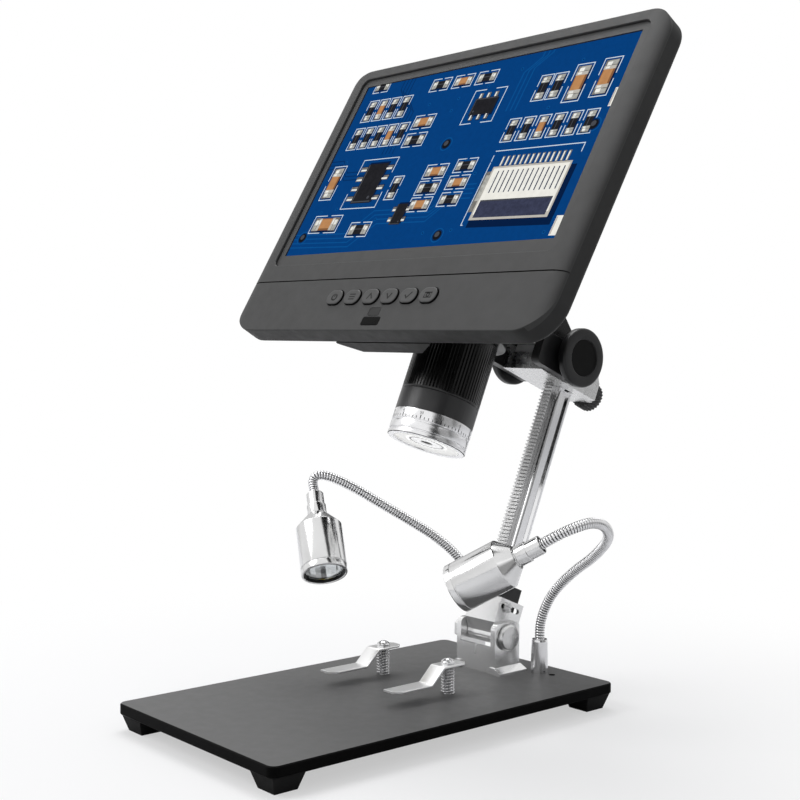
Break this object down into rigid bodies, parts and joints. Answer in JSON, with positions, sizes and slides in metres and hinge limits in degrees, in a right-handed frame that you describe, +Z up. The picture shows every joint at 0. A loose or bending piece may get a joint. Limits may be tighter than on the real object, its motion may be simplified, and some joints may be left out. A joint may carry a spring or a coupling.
{
  "type": "lcd digital microscope",
  "caption": "Digital microscope with a tilted screen over its lens barrel, on a rack-and-pinion column above a stage plate with spring clips and gooseneck lamps.",
  "frame": {"origin": "centre of the stage plate's top face", "axes": "+X to the right and +Y to the back as seen by the user, +Z up out of the stage"},
  "size_m": [0.219, 0.2526, 0.321],
  "materials": {
    "stage_paint": "fine satin dark grey paint",
    "foot_rubber": "matt black",
    "bright_steel": "bright plated",
    "screw_steel": "zinc plated",
    "spring_steel": "bright drawn wire",
    "neck_steel": "satin wound steel",
    "satin_aluminium": "satin turned",
    "column_aluminium": "bright anodised",
    "rack_metal": "cut teeth",
    "bush_brass": "turned",
    "black_plastic": "satin black",
    "grey_plastic": "fine grained dark grey",
    "black_anodised": "black anodised",
    "white_plastic": "white",
    "board_green": "solder mask",
    "button_plastic": "smooth dark grey",
    "panel_black": "display panel",
    "window_black": "glossy",
    "lens_glass": "clear",
    "objective_black": "coated lens in a black barrel",
    "reflector": "bright reflector"
  },
  "bodies": {
    "base": {"base_plate": "stage_paint", "rubber_feet": "foot_rubber", "clip_screws": "bright_steel", "column_bracket": "bright_steel", "bracket_screws": "screw_steel", "pivot_bolt": "screw_steel", "pivot_nut": "screw_steel", "lamp_sockets": "bright_steel"},
    "spring_right": {"clip_spring_right": "spring_steel"},
    "clip_right": {"clip_right": "bright_steel"},
    "spring_left": {"clip_spring_left": "spring_steel"},
    "clip_left": {"clip_left": "bright_steel"},
    "column": {"tilt_clamp": "bright_steel", "clamp_screw": "screw_steel", "column_seat": "black_plastic", "column_rail": "column_aluminium", "rack": "rack_metal", "column_cap": "black_plastic"},
    "head": {"carriage_bracket": "bright_steel", "carriage_block": "black_plastic", "side_covers": "black_plastic", "shaft_bushes": "bush_brass", "head_mount": "black_plastic", "head_screws": "screw_steel", "lens_housing": "black_plastic", "lens_tube": "black_anodised", "lens_nose": "satin_aluminium", "led_board": "white_plastic", "diffuser": "white_plastic", "lens_hood": "white_plastic", "objective_lens": "objective_black", "sensor_board": "board_green", "front_bezel": "grey_plastic", "back_cover": "grey_plastic", "lcd_panel": "panel_black", "screen_frame": "window_black", "main_board": "board_green", "button_board": "board_green", "chin_windows": "window_black", "housing_screws": "screw_steel"},
    "focus_drive": {"focus_knobs": "black_plastic", "pinion_shaft": "screw_steel"},
    "lock_knob": {"lock_knob": "black_plastic"},
    "focus_ring": {"focus_ring": "black_anodised"},
    "button_power": {"button_power": "button_plastic"},
    "button_menu": {"button_menu": "button_plastic"},
    "button_up": {"button_up": "button_plastic"},
    "button_down": {"button_down": "button_plastic"},
    "button_ok": {"button_ok": "button_plastic"},
    "button_capture": {"button_capture": "button_plastic"},
    "neck_right": {"lamp_neck_right": "neck_steel"},
    "lamp_right": {"lamp_shell_right": "satin_aluminium", "lamp_ring_right": "black_plastic", "lamp_lens_right": "lens_glass", "lamp_led_right": "reflector"},
    "neck_left": {"lamp_neck_left": "neck_steel"},
    "lamp_left": {"lamp_shell_left": "satin_aluminium", "lamp_ring_left": "black_plastic", "lamp_lens_left": "lens_glass", "lamp_led_left": "reflector"}
  },
  "joints": [
    {"name": "clip_turn_right", "type": "hinge", "parent": "base", "child": "spring_right", "pos_m": [0.0232, 0.0254, 0.0128], "axis": [0, 0, 1], "range_deg": [-25, 90]},
    {"name": "clip_press_right", "type": "slide", "parent": "spring_right", "child": "clip_right", "axis": [0, 0, -1], "range_m": [0, 0.004], "stiffness_N_per_m": 400, "springref_m": -0.004, "deforming": ["clip_spring_right"]},
    {"name": "clip_turn_left", "type": "hinge", "parent": "base", "child": "spring_left", "pos_m": [-0.0232, 0.0254, 0.0128], "axis": [0, 0, 1], "range_deg": [-90, 25]},
    {"name": "clip_press_left", "type": "slide", "parent": "spring_left", "child": "clip_left", "axis": [0, 0, -1], "range_m": [0, 0.004], "stiffness_N_per_m": 400, "springref_m": -0.004, "deforming": ["clip_spring_left"]},
    {"name": "column_tilt", "type": "hinge", "parent": "base", "child": "column", "pos_m": [0, 0.074, 0.0173], "axis": [1, 0, 0], "range_deg": [-8, 23]},
    {"name": "focus_slide", "type": "slide", "parent": "column", "child": "head", "axis": [0, 0.3907, 0.9205], "range_m": [-0.045, 0.008]},
    {"name": "focus_turn", "type": "hinge", "parent": "head", "child": "focus_drive", "pos_m": [0, 0.1142, 0.1545], "axis": [1, 0, 0], "range_deg": [-70, 370]},
    {"name": "lock_turn", "type": "hinge", "parent": "head", "child": "lock_knob", "pos_m": [0, 0.14618, 0.13386], "axis": [0, 0.9205, -0.3907], "range_deg": [-180, 0]},
    {"name": "lens_focus", "type": "hinge", "parent": "head", "child": "focus_ring", "pos_m": [0, 0.04647, 0.14849], "axis": [0, 0.3907, 0.9205], "range_deg": [-120, 120]},
    {"name": "press_power", "type": "slide", "parent": "head", "child": "button_power", "axis": [0, 0.8599, -0.5105], "range_m": [0, 0.0007], "stiffness_N_per_m": 1500},
    {"name": "press_menu", "type": "slide", "parent": "head", "child": "button_menu", "axis": [0, 0.8599, -0.5105], "range_m": [0, 0.0007], "stiffness_N_per_m": 1500},
    {"name": "press_up", "type": "slide", "parent": "head", "child": "button_up", "axis": [0, 0.8599, -0.5105], "range_m": [0, 0.0007], "stiffness_N_per_m": 1500},
    {"name": "press_down", "type": "slide", "parent": "head", "child": "button_down", "axis": [0, 0.8599, -0.5105], "range_m": [0, 0.0007], "stiffness_N_per_m": 1500},
    {"name": "press_ok", "type": "slide", "parent": "head", "child": "button_ok", "axis": [0, 0.8599, -0.5105], "range_m": [0, 0.0007], "stiffness_N_per_m": 1500},
    {"name": "press_capture", "type": "slide", "parent": "head", "child": "button_capture", "axis": [0, 0.8599, -0.5105], "range_m": [0, 0.0007], "stiffness_N_per_m": 1500},
    {"name": "lamp_lean_right", "type": "hinge", "parent": "base", "child": "neck_right", "pos_m": [0.023, 0.087, 0.0145], "axis": [0, 1, 0], "range_deg": [-3, 12]},
    {"name": "lamp_aim_right", "type": "hinge", "parent": "neck_right", "child": "lamp_right", "pos_m": [0.0683, 0.0371, 0.0728], "axis": [0.5145, -0.8575, 0], "range_deg": [-15, 15]},
    {"name": "lamp_lean_left", "type": "hinge", "parent": "base", "child": "neck_left", "pos_m": [-0.023, 0.087, 0.0145], "axis": [0, -1, 0], "range_deg": [-3, 12]},
    {"name": "lamp_aim_left", "type": "hinge", "parent": "neck_left", "child": "lamp_left", "pos_m": [-0.0621, 0.0129, 0.0838], "axis": [0.4472, 0.8944, 0], "range_deg": [-15, 15]}
  ],
  "couplings": [
    {"joint": "focus_turn", "follows": "focus_slide", "rad_per_m": -138.89}
  ]
}
